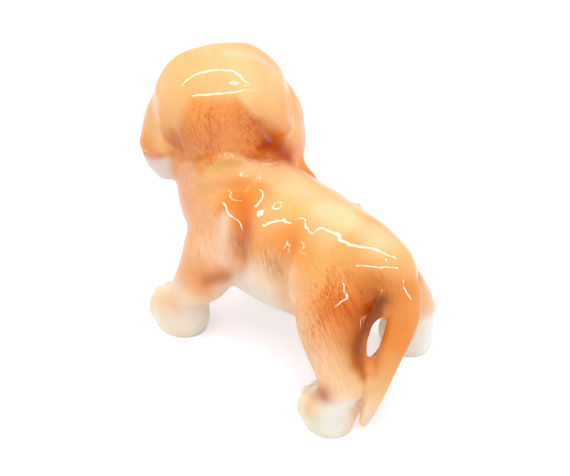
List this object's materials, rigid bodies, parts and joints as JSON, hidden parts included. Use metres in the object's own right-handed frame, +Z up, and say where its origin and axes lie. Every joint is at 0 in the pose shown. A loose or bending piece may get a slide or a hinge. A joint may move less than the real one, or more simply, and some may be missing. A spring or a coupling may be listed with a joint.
{
  "type": "dog figurine",
  "caption": "Small glazed earthenware puppy standing on all fours with its head turned and lowered, hanging ears, and a hanging tail joined to the hind leg.",
  "frame": {"origin": "on the table under the middle of the whole figure", "axes": "+Z up, -Y is where the body points, from the tail to the chest, +X is the puppy's left side"},
  "size_m": [0.0646, 0.106, 0.0861],
  "materials": {
    "glazed_tan": "glossy",
    "glazed_ear_tan": "glossy"
  },
  "bodies": {
    "root": {"torso": "glazed_tan", "head": "glazed_tan", "left_ear": "glazed_ear_tan", "right_ear": "glazed_ear_tan", "front_left_leg": "glazed_tan", "front_right_leg": "glazed_tan", "hind_left_leg": "glazed_tan", "hind_right_leg": "glazed_tan", "tail": "glazed_tan"}
  },
  "joints": []
}
